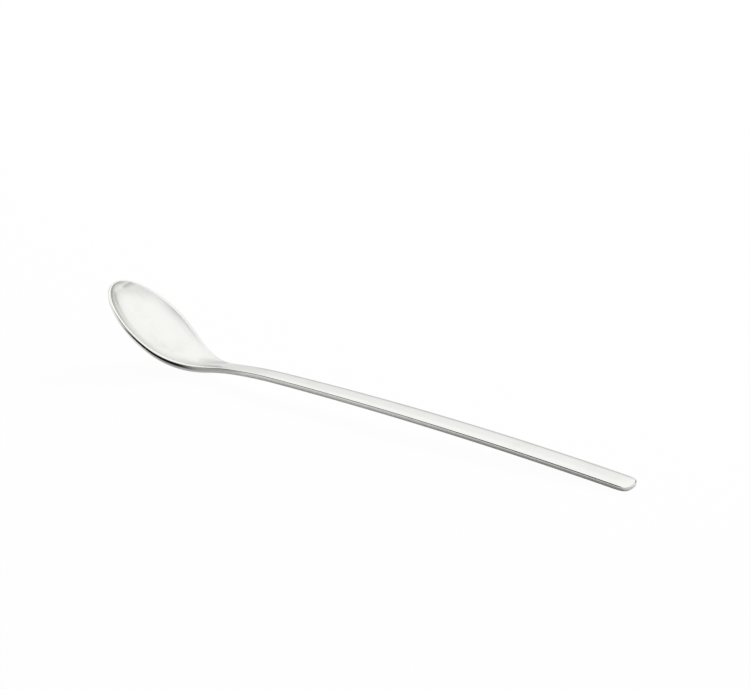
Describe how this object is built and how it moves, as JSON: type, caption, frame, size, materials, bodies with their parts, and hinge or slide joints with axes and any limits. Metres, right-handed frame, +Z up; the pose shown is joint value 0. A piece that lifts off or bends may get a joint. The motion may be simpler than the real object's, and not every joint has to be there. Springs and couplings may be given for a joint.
{
  "type": "iced tea spoon",
  "caption": "Long-handled spoon for tall glasses: a deep, turned-up bowl runs through a slim neck into a long, slightly arched handle of mirror-polished stainless steel.",
  "frame": {"origin": "Centre of the bottom of the box round the spoon, on the table top that it lies on.", "axes": "+X runs along the spoon from the tip of the bowl to the end of the handle, +Z points up out of the table, and +Y completes the right-handed frame. The spoon is symmetric about the XZ plane."},
  "size_m": [0.1976, 0.0248, 0.0236],
  "materials": {
    "polished_steel": "stainless steel polished to a mirror, with faint lines of polishing along its length"
  },
  "bodies": {
    "root": {"bowl": "polished_steel", "handle": "polished_steel"}
  },
  "joints": []
}
